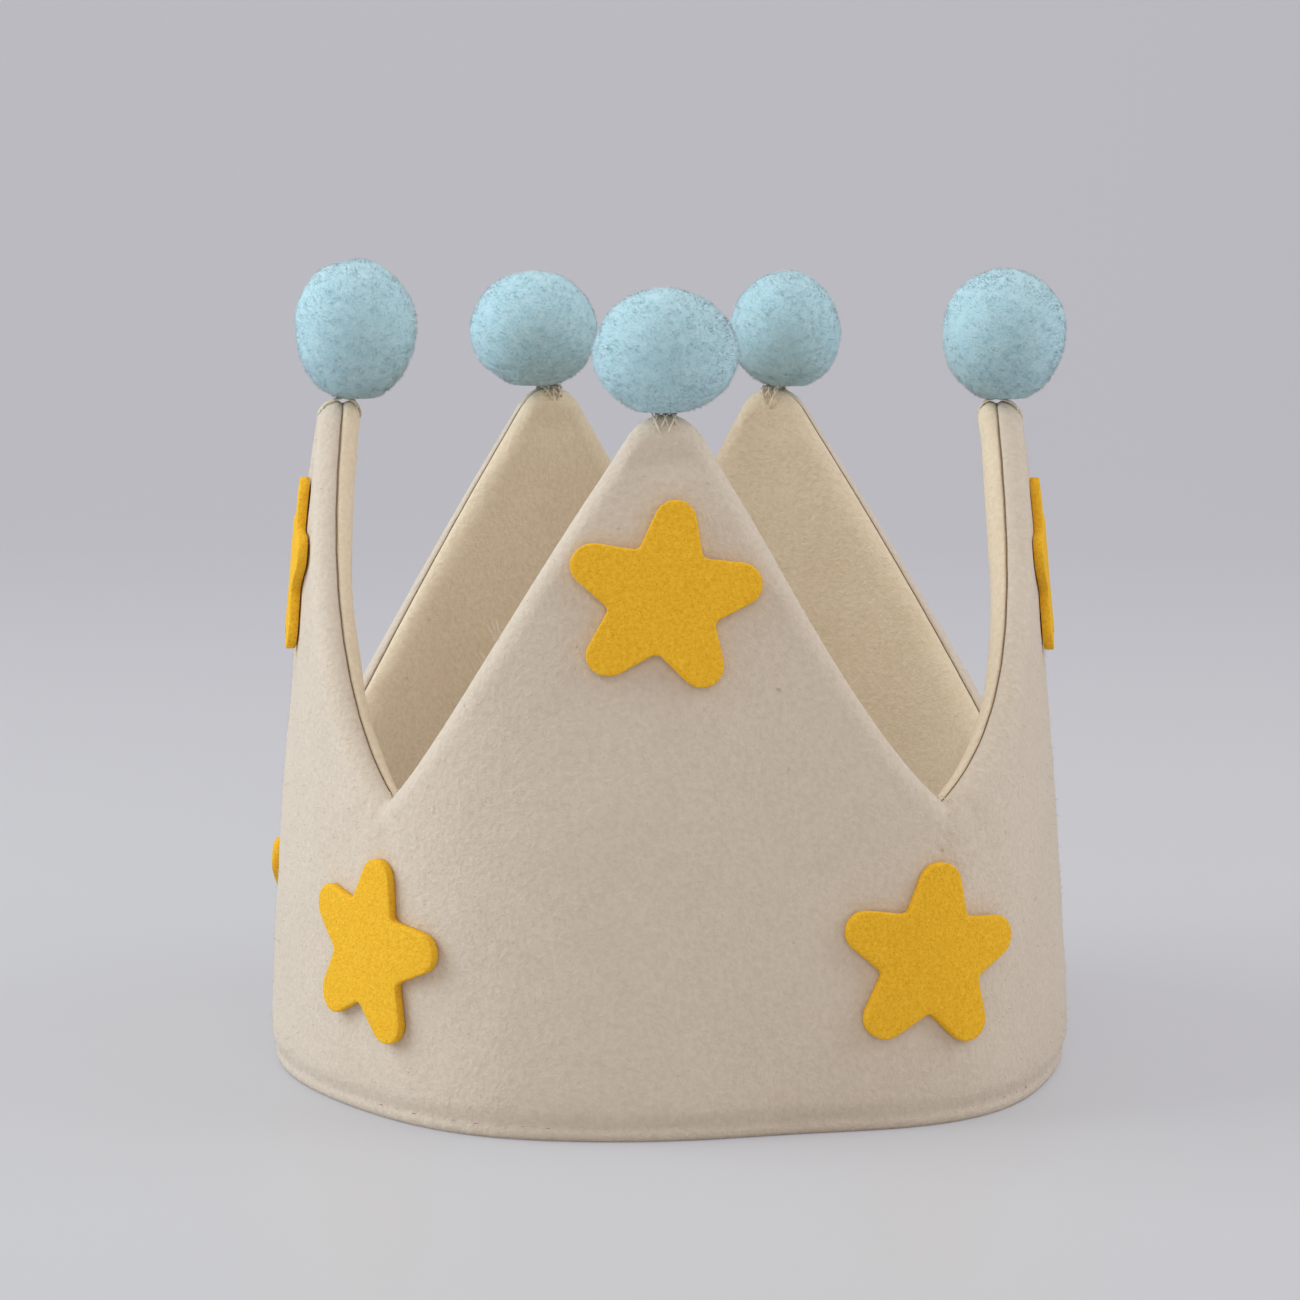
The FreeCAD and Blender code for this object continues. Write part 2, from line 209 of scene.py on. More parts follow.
def place(angle, height, offset):
    """Points of the wall in metres, a given distance outside the seam surface."""
    values = [np.asarray(value, float) for value in (angle, height, offset)]
    angle, height, offset = np.broadcast_arrays(*values)
    reach = radius(angle, height) + offset
    turn = np.radians(angle)
    return np.stack([reach * np.sin(turn), -reach * np.cos(turn), height], axis=-1) * MM


def arc_degrees(length):
    return math.degrees(length / (BASE_RADIUS - OUTER_BULGE))


def arc_length(angle):
    return np.radians(angle) * (BASE_RADIUS - OUTER_BULGE)


def edge(across, flank):
    """Height and slope of a point's edge, at a distance across from its tip."""
    lean = math.atan(1 / POINT_SLOPE)
    apex = POINT_HEIGHT + TIP_RADIUS * (1 / math.sin(lean) - 1)
    if across < TIP_RADIUS * math.cos(lean):
        drop = math.sqrt(TIP_RADIUS**2 - across**2)
        return POINT_HEIGHT - TIP_RADIUS + drop, across / drop
    if across <= FLARE_START:
        return apex - POINT_SLOPE * across, POINT_SLOPE
    start = apex - POINT_SLOPE * FLARE_START
    run = flank - FLARE_START
    share = (across - FLARE_START) / run
    first, last = -POINT_SLOPE * run, -VALLEY_SLOPE * run
    drop = start - VALLEY_HEIGHT
    bend = 2 * drop + first + last
    sag = -3 * drop - 2 * first - last
    height = start + share * (first + share * (sag + share * bend))
    return height, -(first + share * (2 * sag + 3 * share * bend)) / run


def stations(spacing):
    """Angle, top height, steepness and fullness of sections along the whole band."""
    rows = []
    for index, peak in enumerate(PEAKS):
        for valley in (VALLEYS[index], VALLEYS[index + 1]):
            flank = math.radians(abs(valley - peak)) * (BASE_RADIUS - OUTER_BULGE)
            count = max(3, round(flank / spacing))
            shares = np.linspace(1, 0, count + 1) if valley < peak else np.linspace(0, 1, count + 1)[1:]
            if rows:
                shares = shares[1:] if valley < peak else shares
            for share in shares:
                top, slope = edge(flank * share, flank)
                rows.append((peak + (valley - peak) * share, top, math.hypot(1, slope)))
    extra = []
    for end in (VALLEYS[0], VALLEYS[-1]):
        peak = PEAKS[0] if end < 0 else PEAKS[-1]
        flank = math.radians(abs(end - peak)) * (BASE_RADIUS - OUTER_BULGE)
        for back in (0.15, 0.4):
            top, slope = edge(flank - back, flank)
            extra.append((end + math.copysign(arc_degrees(back), -end), top, math.hypot(1, slope)))
    table = np.array(sorted(rows + extra))
    back = (VALLEYS[-1] - np.abs(table[:, 0])) / arc_degrees(1) / EDGE_ROUND
    swell = np.sqrt(1 - (1 - np.clip(back, 0, 1)) ** 2)
    return np.column_stack([table, END_FULLNESS + (1 - END_FULLNESS) * swell])


def hem_fullness(share):
    xs, ys = zip(*HEM_FULLNESS)
    fine = np.linspace(0, 1, 41)
    rough = np.interp(fine, xs, ys)
    smooth = np.convolve(np.pad(rough, 2, mode="edge"), np.ones(5) / 5, mode="valid")
    return np.interp(share, fine, smooth)


def face_profile(table, bulge, depth, arc_rows, body_rows, hem_rows):
    """Offsets and heights of one face of a sheet: arrays of (station, row)."""
    top, steep, full = table[:, 1:2], table[:, 2:3], table[:, 3:4]
    swell = FELT + (bulge - FELT) * full - depth
    rounding = (EDGE_ROUND - depth) * steep
    start = top - depth * steep
    turn = np.radians(np.linspace(0, 90, arc_rows + 1))[None, :]
    offsets = [swell * np.sin(turn)]
    heights = [start - rounding * (1 - np.cos(turn))]
    share = np.linspace(0, 1, body_rows + 1)[None, 1:]
    shoulder = start - rounding
    heights.append(shoulder + (HEM_REACH - shoulder) * share)
    offsets.append(swell * np.ones_like(heights[-1]))
    share = np.linspace(1, 0, hem_rows + 1)[None, 1:]
    heights.append((depth + (HEM_REACH - depth) * share) * np.ones_like(top))
    offsets.append(swell * hem_fullness(share))
    return np.concatenate(offsets, axis=1), np.concatenate(heights, axis=1)


def noise_at(points, size, seed):
    """Smooth noise from -1 to 1 at points in metres, with features of a size in millimetres."""
    scaled = points.reshape(-1, 3) / (size * MM) + seed
    values = np.fromiter((noise.noise(Vector(p)) for p in scaled), float, len(scaled))
    return values.reshape(points.shape[:-1])


def add_mesh(name, points, faces):
    mesh = bpy.data.meshes.new(name)
    mesh.from_pydata(np.asarray(points, float).tolist(), [], faces)
    mesh.validate()
    mesh.update()
    mesh.shade_smooth()
    piece = bpy.data.objects.new(name, mesh)
    bpy.context.scene.collection.objects.link(piece)
    return piece


def ring_faces(stations_count, around):
    """Quads of a closed tube of rings, with an end face at each end."""
    index = np.arange(stations_count * around).reshape(stations_count, around)
    a, b = index[:-1], index[1:]
    quads = np.stack([a, np.roll(a, -1, 1), np.roll(b, -1, 1), b], axis=-1).reshape(-1, 4)
    return quads.tolist() + [index[0][::-1].tolist(), index[-1].tolist()]


def felt_relief(angle, height, table, side, points):
    """How far the felt's face stands out from its plain form."""
    below = table[:, 1:2] - height
    fade = np.clip(below / 6, 0, 1) * np.clip(height / 6, 0, 1)
    relief = 0.35 * noise_at(points, 30, side) * fade
    relief += 0.12 * noise_at(points, 7, side + 3) * fade
    relief += 0.07 * noise_at(points, 1.5, side + 9)
    for valley in VALLEYS[1:-1]:
        across = arc_length(angle - valley)
        down = VALLEY_HEIGHT - height
        close = np.exp(-((across / 9) ** 2) - ((down - 5) / 8) ** 2)
        relief += 0.3 * close * np.sin(np.arctan2(across, down + 6) * 9 + valley)
        crease = np.exp(-(((across + 0.35 * down) / 0.8) ** 2) - ((down - 3) / 3.2) ** 2)
        relief -= 0.55 * crease
    for peak, depth in zip(PEAKS, TIP_CREASES):
        across = arc_length(angle - peak)
        crease = np.exp(-(((POINT_HEIGHT - 9 - height + 0.03 * across**2) / 1.8) ** 2))
        relief -= depth * crease * np.exp(-((across / 7) ** 2)) * np.clip(below / 3, 0, 1)
    pucker = np.cos(2 * np.pi * arc_length(angle) / STITCH_PITCH)
    relief += 0.1 * pucker * np.exp(-(((height - HEM_STITCH_HEIGHT) / 2) ** 2))
    return relief - 0.12 * np.exp(-(((height - HEM_STITCH_HEIGHT) / 0.8) ** 2))


def make_felt(name, bulge, side, spacing, rows):
    """A sheet of felt, closed from end to end of the band, and the points of its face."""
    table = stations(spacing)
    arc_rows, body_rows, hem_rows = rows
    offset, height = face_profile(table, bulge, 0, arc_rows, body_rows, hem_rows)
    angle = np.broadcast_to(table[:, 0:1], offset.shape)
    gap = SEAM_GAP / 2
    plain = place(angle, height, side * (gap + offset))
    relief = felt_relief(angle, height, table, side, plain) * table[:, 3:4]
    if side < 0:
        wave = noise_at(plain, 13, 21) * np.exp(-(((table[:, 1:2] - height) / 9) ** 2))
        relief += 0.9 * wave * np.clip(offset / bulge, 0, 1)
    groove = 0.8 * np.exp(-((offset / 0.7) ** 2))
    offset_out = np.maximum(offset + relief * np.clip(offset / 1.5, 0, 1), 0)
    face = place(angle, height - groove, side * (gap + offset_out))
    inner_offset, inner_height = face_profile(table, bulge, FELT, 4, 14, 4)
    inner_angle = np.broadcast_to(table[:, 0:1], inner_offset.shape)
    inner = place(inner_angle, inner_height, side * (gap + inner_offset))
    fold = place(table[:, 0:1], np.full((len(table), 1), FELT), side * gap)
    foot = place(table[:, 0:1], np.zeros((len(table), 1)), side * gap)
    rings = np.concatenate([face, foot, fold, inner[:, ::-1]], axis=1)
    if side > 0:
        rings = rings[:, ::-1]
    return add_mesh(name, rings.reshape(-1, 3), ring_faces(*rings.shape[:2])), face


def spikes(roots, across, along, thickness):
    """Points and faces of thin three-sided fibres, each closed and ending in a point."""
    across /= np.linalg.norm(across, axis=1, keepdims=True)
    over = np.cross(along, across)
    over /= np.linalg.norm(over, axis=1, keepdims=True)
    ring = [
        roots + thickness * (across * math.cos(turn) + over * math.sin(turn))
        for turn in np.radians([0, 120, 240])
    ]
    points = np.stack([*ring, roots + along], axis=1).reshape(-1, 3)
    pattern = np.array([[2, 1, 0], [0, 1, 3], [1, 2, 3], [2, 0, 3]])
    faces = (np.arange(len(roots))[:, None, None] * 4 + pattern).reshape(-1, 3)
    return points, faces


def felt_nap(name, face, side, count):
    """Short fine fibres that stand off a felt's face."""
    along, down = np.gradient(face, axis=0), np.gradient(face, axis=1)
    out = side * np.cross(down, along)
    stations_count, rows = face.shape[:2]
    i = rng.integers(2, stations_count - 2, count)
    j = rng.integers(1, rows - 2, count)
    out = out[i, j] / np.linalg.norm(out[i, j], axis=1, keepdims=True)
    lean = rng.standard_normal((count, 3)) * 0.75 + 0.55 * out
    lean /= np.linalg.norm(lean, axis=1, keepdims=True)
    lean += np.maximum(0.15 - np.sum(lean * out, axis=1, keepdims=True), 0) * out
    length = rng.uniform(0.5, 1.5, (count, 1)) * MM
    roots = face[i, j] - 0.12 * MM * out
    points, faces = spikes(roots, rng.standard_normal((count, 3)), lean * length, NAP_THICKNESS / 2 * MM)
    points[:, 2] = np.maximum(points[:, 2], 0)
    return add_mesh(name, points, faces.tolist())


def make_wadding():
    """The padding between the two felts, a little lumpy."""
    table = stations(3)
    table = table[np.abs(table[:, 0]) < VALLEYS[-1] - arc_degrees(1.8)]
    sides = []
    for bulge, side in ((OUTER_BULGE, 1), (LINING_BULGE, -1)):
        offset, height = face_profile(table, bulge, PADDING_DEPTH, 4, 24, 4)
        angle = np.broadcast_to(table[:, 0:1], offset.shape)
        plain = place(angle, height, side * offset)
        lumps = 0.12 * noise_at(plain, 5, 40 + side) - 0.15
        sides.append(place(angle, height, side * (SEAM_GAP / 2 + offset + lumps * np.clip(offset, 0, 1))))
    rings = np.concatenate([sides[0], sides[1][:, ::-1]], axis=1)[:, ::-1]
    return add_mesh("wadding", rings.reshape(-1, 3), ring_faces(len(table), rings.shape[1]))


def tube(path, thickness, sides):
    """Points and faces of a closed tube along a path in metres, with rounded ends."""
    path = np.asarray(path, float)
    along = np.gradient(path, axis=0)
    along /= np.linalg.norm(along, axis=1, keepdims=True)
    up = np.array([0.0, 0.0, 1.0]) if abs(along[:, 2]).mean() < 0.8 else np.array([1.0, 0.0, 0.0])
    across = np.cross(along, up)
    across /= np.linalg.norm(across, axis=1, keepdims=True)
    over = np.cross(across, along)
    turn = np.linspace(0, 2 * np.pi, sides, endpoint=False)
    size = np.full(len(path), thickness / 2 * MM)
    size[0] *= 0.45
    size[-1] *= 0.45
    ring = across[:, None] * np.cos(turn)[None, :, None] + over[:, None] * np.sin(turn)[None, :, None]
    points = path[:, None] + ring * size[:, None, None]
    return points.reshape(-1, 3), ring_faces(len(path), sides)


def join_tubes(name, tubes):
    points, faces, base = [], [], 0
    for tube_points, tube_faces in tubes:
        points.append(tube_points)
        faces += [[base + i for i in face] for face in tube_faces]
        base += len(tube_points)
    return add_mesh(name, np.concatenate(points), faces)


def hem_stitches():
    """Small sunk top stitches round the hem, on both faces of the band."""
    tubes = []
    total = arc_length(2 * VALLEYS[-1])
    for bulge, side in ((OUTER_BULGE, 1), (LINING_BULGE, -1)):
        for number in range(1, int(total / STITCH_PITCH) - 1):
            middle = VALLEYS[0] + arc_degrees(STITCH_PITCH * number)
            half = arc_degrees(rng.uniform(0.7, 1.15))
            angles = middle + half * np.linspace(-1, 1, 5)
            sink = np.array([-0.75, -0.2, -0.13, -0.2, -0.75])
            full = bulge * float(hem_fullness(HEM_STITCH_HEIGHT / HEM_REACH))
            height = HEM_STITCH_HEIGHT + 0.1 * rng.standard_normal()
            path = place(angles, height, side * (full + sink))
            tubes.append(tube(path, 0.32, 5))
    return join_tubes("hem_stitches", tubes)


def seam_line_groove_shade():
    """The thread that shows in the groove between the two felts, along the points' edges. Its dark brown
    colour is painted shade of the groove.
    """
    table = stations(1.6)
    table = table[np.abs(table[:, 0]) < VALLEYS[-1] - 0.5]
    path = place(table[:, 0], table[:, 1] - 0.85, 0.06 * np.sin(np.arange(len(table)) * 1.9))
    return join_tubes("seam_line_groove_shade", [tube(path, 0.4, 6)])


def pompom_ties():
    """Threads that hold each pom-pom: they cross under it and dive into the felt."""
    tubes = []
    share = np.linspace(0, 1, 9)
    for peak in PEAKS:
        for side in (1, -1):
            bulge = OUTER_BULGE if side > 0 else LINING_BULGE
            for first, last, drop in TIE_STITCHES:
                drop += 0.4 * rng.standard_normal()
                across = first + (last - first) * share + 0.15 * rng.standard_normal()
                angle = peak + arc_degrees(1) * across
                fall = drop * share
                swell = np.sqrt(np.clip(1 - (1 - np.clip(fall / EDGE_ROUND, 0, 1)) ** 2, 0, 1))
                offset = bulge * swell + 0.22 - 1.1 * share**6
                path = place(angle, POINT_HEIGHT - fall + 0.25, side * offset)
                tubes.append(tube(path, 0.45, 6))
        for first, last in ((-2.4, 1.9), (2.2, -2.0)):
            swing = np.linspace(-1, 1, 9)
            offset = 0.9 * swing * OUTER_BULGE * 0.62
            across = np.interp(swing, (-1, 1), (first, last))
            sag = 0.7 * swing**2 - 0.35
            path = place(peak + arc_degrees(1) * across, POINT_HEIGHT - sag, offset)
            tubes.append(tube(path, 0.45, 6))
    return join_tubes("pompom_ties", tubes)


def valley_tufts():
    """The frayed ends of thread at each valley, and a few loose fibres on the front point."""
    tubes = []
    share = np.linspace(0, 1, 7)
    for valley in VALLEYS[1:-1]:
        for number in range(7):
            start = rng.uniform(-1.2, 1.2)
            run = rng.uniform(-1.6, 1.6)
            angle = valley + arc_degrees(1) * (start + run * share)
            rise = np.abs(np.sin(np.pi * share * rng.uniform(0.5, 0.95))) * rng.uniform(0.5, 1.2)
            offset = rng.uniform(-1.5, 3.2) + rng.uniform(-0.8, 0.8) * share
            tubes.append(tube(place(angle, VALLEY_HEIGHT + 0.35 * abs(start) + rise, offset), 0.2, 4))
    for number in range(9):
        across = -FRAY_PLACE + rng.uniform(-2, 2)
        top, slope = edge(abs(across), FRONT_FLANK)
        reach = rng.uniform(2.5, 5.5)
        curl = 1.1 * np.sin(share * rng.uniform(2.5, 4.5) + rng.uniform(0, 3))
        beside = across - 0.5 * reach * share * rng.uniform(0.4, 1) - 0.3 * curl * share
        rise = reach * share * rng.uniform(0.5, 1) + 0.5 * curl * share
        offset = 1.5 + rng.uniform(-1, 1) * share
        path = place(PEAKS[2] + arc_degrees(1) * beside, top - 0.8 + rise, offset)
        tubes.append(tube(path, 0.1, 4))
    return join_tubes("loose_fibres", tubes)


def star_outline():
    """Points round the star, counter-clockwise, with round tips and softly cut corners."""
    half = math.pi / 5
    corner = np.array([STAR_WAIST * math.sin(half), STAR_WAIST * math.cos(half)])
    middle = np.array([0.0, STAR_REACH - STAR_TIP_RADIUS])
    to_tip = middle - corner
    lean = math.atan2(to_tip[1], to_tip[0]) - math.asin(STAR_TIP_RADIUS / np.linalg.norm(to_tip))
    touch = lean - math.pi / 2
    turns = np.linspace(touch, math.pi - touch, 11)
    arc = middle + STAR_TIP_RADIUS * np.column_stack([np.cos(turns), np.sin(turns)])
    side = [corner + (arc[0] - corner) * share for share in (0.12, 0.4, 0.7)]
    mirrored = [point * (-1, 1) for point in side[::-1]]
    arm = np.array(side + list(arc) + mirrored + [corner * (-1.035, 1.035)])
    points = []
    for number in range(5):
        turn = 2 * math.pi * number / 5
        spin = np.array([[math.cos(turn), -math.sin(turn)], [math.sin(turn), math.cos(turn)]])
        points.append(arm @ spin.T)
    return np.concatenate(points)


def wall_frame(angle, height, offset):
    """Origin and axes of a piece on the wall: along it, up it and out of it."""
    step = 0.01
    here = place(angle, height, offset)
    along = place(angle + step, height, offset) - place(angle - step, height, offset)
    upward = place(angle, height + step, offset) - place(angle, height - step, offset)
    outward = np.cross(along, upward)
    outward /= np.linalg.norm(outward)
    along /= np.linalg.norm(along)
    return here, along, np.cross(outward, along), outward


def cut_profile():
    """Inset and height of the rings up the star's cut edge and onto its face."""
    thick = STAR_THICKNESS
    return (
        (0.25, 0), (0, 0.12), (-0.06, thick / 2), (0, thick - 0.22), (0.1, thick - 0.07), (0.3, thick),
        (FACE_INSET, thick + 0.02),
    )


def make_star(name, angle, height, turn):
    """A star cut from foam sheet, with edges rounded by the cutting, laid on the curved wall."""
    outline = star_outline()
    count = len(outline)
    normals = np.roll(outline, -1, 0) - np.roll(outline, 1, 0)
    normals = np.column_stack([normals[:, 1], -normals[:, 0]])
    normals /= np.linalg.norm(normals, axis=1, keepdims=True)
    layers = [np.column_stack([outline - normals * inset, np.full(count, z)]) for inset, z in cut_profile()]
    face_edge = layers[-1]
    for share in (0.86, 0.7, 0.52, 0.34, 0.17):
        layers.append(face_edge * (share, share, 1))
    back = [layers[0] * (share, share, 1) for share in (0.6, 0.25)]
    rings = back[::-1] + layers
    points = np.concatenate(rings)
    faces = ring_faces(len(rings), count)
    seed = sum(ord(letter) for letter in name)
    wobble = noise_at(points * (MM, MM, 0), 9, seed)
    points[:, 2] += 0.1 * wobble * (points[:, 2] > 0)
    spin = math.radians(turn)
    x = points[:, 0] * math.cos(spin) - points[:, 1] * math.sin(spin)
    y = points[:, 0] * math.sin(spin) + points[:, 1] * math.cos(spin)
    offset = SEAM_GAP / 2 + OUTER_BULGE + 0.15
    here, along, upward, outward = wall_frame(angle, height, offset)
    flat = here + (np.outer(x, along) + np.outer(y, upward) + np.outer(points[:, 2], outward)) * MM
    angles = angle + np.degrees(x / (radius(angle, height) + offset))
    bent = place(angles, height + y * upward[2], offset + points[:, 2])
    return add_mesh(name + "_foam", flat * (1 - STAR_BEND) + bent * STAR_BEND, faces)


def directions_at(turn, polar):
    """Unit vectors at a turn round the vertical and an angle down from it."""
    level = np.sin(polar)
    return np.stack([np.cos(turn) * level, np.sin(turn) * level, np.cos(polar)], axis=-1)


def make_pompom(name, point, width, height, sideways, inward):
    """A ball of cut pile: a lumpy core with thousands of short fine fibres."""
    tip = place(PEAKS[point] + arc_degrees(sideways), POINT_HEIGHT, -inward) / MM
    seat = POINT_HEIGHT + POMPOM_SEAT
    middle = np.array([tip[0], tip[1], seat + height / 2 - POMPOM_FLAT])
    half = np.array([width / 2, width / 2, height / 2])

    def surface(directions, depth):
        lumps = 0.05 * noise_at(directions * MM, 1.0, 50 + 7 * point)
        lumps += 0.035 * noise_at(directions * MM, 0.45, 80 + 7 * point)
        return middle + directions * (half - depth) * (1 + lumps[:, None])

    turns = np.radians(np.linspace(0, 360, CORE_AROUND, endpoint=False))
    levels = np.radians(np.linspace(178, 2, CORE_RINGS))
    turns, levels = np.meshgrid(turns, levels)
    shell = directions_at(turns, levels).reshape(-1, 3)
    core = surface(shell, CORE_DEPTH)
    core += shell * 0.2 * noise_at(core * MM, 1.1, point)[:, None]
    faces = ring_faces(*levels.shape)

    order = np.arange(PILE_FIBRES) + 0.5
    polar = np.arccos(1 - 2 * order / PILE_FIBRES)
    around = directions_at(np.pi * (1 + 5**0.5) * order, polar)
    around += 0.015 * rng.standard_normal(around.shape)
    around /= np.linalg.norm(around, axis=1, keepdims=True)
    roots = surface(around, PILE + 0.2)
    sway = np.column_stack([noise_at(roots * MM, 1.5, seed) for seed in (3, 17, 31)])
    tufts = np.column_stack([noise_at(roots * MM, 4.5, seed) for seed in (5, 19, 37)])
    lean = around + 0.55 * sway + 0.4 * tufts + 0.15 * rng.standard_normal(around.shape)
    lean /= np.linalg.norm(lean, axis=1, keepdims=True)
    length = PILE * (1.12 + 0.1 * rng.standard_normal((PILE_FIBRES, 1)))
    ends = (roots + lean * length - middle) / half
    ends /= np.maximum(np.linalg.norm(ends, axis=1, keepdims=True) / PILE_LIMIT, 1)
    along = middle + ends * half - roots
    fibres, fibre_faces = spikes(roots, rng.standard_normal(along.shape), along, PILE_THICKNESS / 2)
    points = np.concatenate([core, fibres])
    points[:, 2] = np.maximum(points[:, 2], seat + 0.05)
    faces += (fibre_faces + len(core)).tolist()
    piece = add_mesh(name + "_pile", points * MM, faces)
    soft = np.concatenate([shell, np.repeat(around, 4, axis=0)])
    piece.data.normals_split_custom_set_from_vertices(soft.tolist())
    # Painted shade and light: the core and fibre roots get low values and the fibre tips 1, so the pile
    # material colours the deep pile darker and the tips lighter.
    outward = np.concatenate([np.zeros(len(core)), np.tile([0.1, 0.1, 0.1, 1.0], PILE_FIBRES)])
    piece.data.attributes.new("outward", "FLOAT", "POINT").data.foreach_set("value", outward)
    return piece


class Material:
    """A node material: a principled shader with procedural colour and relief."""

    def __init__(self, name, roughness=0.9, sheen=0.0):
        self.material = bpy.data.materials.new(name)
        self.material.use_nodes = True
        self.tree = self.material.node_tree
        self.shader = self.tree.nodes["Principled BSDF"]
        self.shader.inputs["Roughness"].default_value = roughness
        self.shader.inputs["Sheen Weight"].default_value = sheen
        self.shader.inputs["Sheen Roughness"].default_value = 0.6
        self.shader.inputs["Specular IOR Level"].default_value = 0.12
        self.coordinates = self.tree.nodes.new("ShaderNodeTexCoord").outputs["Object"]

    def link(self, output, target):
        self.tree.links.new(output, target)

    def noise(self, scale, detail=4, roughness=0.6, distortion=0.0):
        node = self.tree.nodes.new("ShaderNodeTexNoise")
        node.inputs["Scale"].default_value = scale
        node.inputs["Detail"].default_value = detail
        node.inputs["Roughness"].default_value = roughness
        node.inputs["Distortion"].default_value = distortion
        self.link(self.coordinates, node.inputs["Vector"])
        return node.outputs["Fac"]

    def cells(self, scale):
        node = self.tree.nodes.new("ShaderNodeTexVoronoi")
        node.inputs["Scale"].default_value = scale
        self.link(self.coordinates, node.inputs["Vector"])
        return node.outputs["Distance"]

    def ramp(self, value, stops):
        node = self.tree.nodes.new("ShaderNodeValToRGB")
        elements = node.color_ramp.elements
        while len(elements) < len(stops):
            elements.new(0.5)
        for element, (position, colour) in zip(elements, stops):
            element.position = position
            element.color = (*colour, 1)
        self.link(value, node.inputs["Fac"])
        return node.outputs["Color"]

    def mix(self, factor, first, second, blend="MIX"):
        node = self.tree.nodes.new("ShaderNodeMix")
        node.data_type = "RGBA"
        node.blend_type = blend
        if isinstance(factor, float):
            node.inputs["Factor"].default_value = factor
        else:
            self.link(factor, node.inputs["Factor"])
        for socket, colour in ((node.inputs["A"], first), (node.inputs["B"], second)):
            if isinstance(colour, tuple):
                socket.default_value = (*colour, 1)
            else:
                self.link(colour, socket)
        return node.outputs["Result"]

    def colour(self, output):
        self.link(output, self.shader.inputs["Base Color"])

    def relief(self, layers):
        """Layers of (height output, strength, distance in millimetres), the broadest first."""
        normal = None
        for height, strength, distance in layers:
            node = self.tree.nodes.new("ShaderNodeBump")
            node.inputs["Strength"].default_value = strength
            node.inputs["Distance"].default_value = distance * MM
            self.link(height, node.inputs["Height"])
            if normal is not None:
                self.link(normal, node.inputs["Normal"])
            normal = node.outputs["Normal"]
        self.link(normal, self.shader.inputs["Normal"])


def linear(*rgb):
    """A linear colour from one written in 0 to 255 screen values."""
    return tuple(
        (c / 255 / 12.92) if c / 255 <= 0.04045 else ((c / 255 + 0.055) / 1.055) ** 2.4 for c in rgb
    )


def felt_material(name, light, dark, fleck):
    felt = Material(name, roughness=0.95, sheen=0.15)
    mottle = felt.noise(900, 3, 0.65)
    broad = felt.noise(55, 3, 0.5)
    fibre = felt.noise(2600, 2, 0.7, 1.2)
    base = felt.ramp(mottle, [(0.34, dark), (0.66, light)])
    base = felt.mix(0.25, base, felt.ramp(broad, [(0.35, dark), (0.7, light)]))
    flecks = felt.ramp(felt.noise(420, 2, 0.5), [(0.74, (0, 0, 0)), (0.8, (1, 1, 1))])
    felt.colour(felt.mix(flecks, base, fleck))
    felt.relief([(mottle, 0.6, 0.55), (fibre, 0.4, 0.2)])
    return felt.material


def foam_material():
    foam = Material("star_foam", roughness=0.85, sheen=0.0)
    pits = foam.cells(1900)
    grain = foam.noise(1300, 4, 0.7)
    base = foam.ramp(grain, [(0.3, linear(232, 170, 36)), (0.7, linear(250, 200, 58))])
    # Painted shade: the foam's pits, sunk by the relief below, are coloured a darker orange.
    pit_shade = foam.ramp(pits, [(0.08, (1, 1, 1)), (0.24, (0, 0, 0))])
    foam.colour(foam.mix(pit_shade, base, linear(206, 136, 24)))
    foam.relief([(grain, 0.5, 0.3), (pits, 0.4, 0.25)])
    return foam.material


def pile_material():
    pile = Material("pompom_pile", roughness=0.95, sheen=0.2)
    outward = pile.tree.nodes.new("ShaderNodeAttribute")
    outward.attribute_name = "outward"
    # Painted shade and light: the outward attribute gives darker blue on the core and fibre roots and
    # lighter blue at the fibre tips.
    painted_root_shade_tip_light = pile.ramp(outward.outputs["Fac"], [(0.0, linear(172, 210, 224)), (0.8, linear(192, 224, 235))])
    patch = pile.ramp(pile.noise(330, 3), [(0.3, linear(170, 208, 221)), (0.7, linear(202, 229, 237))])
    pile.colour(pile.mix(0.4, painted_root_shade_tip_light, patch))
    pile.relief([(pile.noise(2200, 3), 0.3, 0.2)])
    return pile.material


def thread_material(name, light, dark):
    thread = Material(name, roughness=0.85, sheen=0.1)
    twist = thread.noise(2400, 2, 0.6, 0.8)
    thread.colour(thread.ramp(twist, [(0.3, dark), (0.7, light)]))
    thread.relief([(twist, 0.5, 0.1)])
    return thread.material


def wadding_material():
    wadding = Material("padding", roughness=1.0, sheen=0.2)
    tuft = wadding.noise(500, 5, 0.7, 0.6)
    wadding.colour(wadding.ramp(tuft, [(0.3, linear(225, 223, 218)), (0.7, linear(245, 244, 240))]))
    wadding.relief([(tuft, 0.6, 0.6)])
    return wadding.material


def tape_material():
    tape = Material("closure_strip", roughness=0.8, sheen=0.1)
    wave = tape.tree.nodes.new("ShaderNodeTexWave")
    wave.wave_type = "BANDS"
    wave.bands_direction = "Z"
    wave.inputs["Scale"].default_value = 320
    wave.inputs["Distortion"].default_value = 0.6
    tape.link(tape.coordinates, wave.inputs["Vector"])
    hooks = tape.cells(900)
    tape.colour(tape.ramp(hooks, [(0.1, linear(214, 208, 198)), (0.5, linear(238, 234, 226))]))
    tape.relief([(wave.outputs["Fac"], 0.4, 0.3), (hooks, 0.5, 0.3)])
    return tape.material


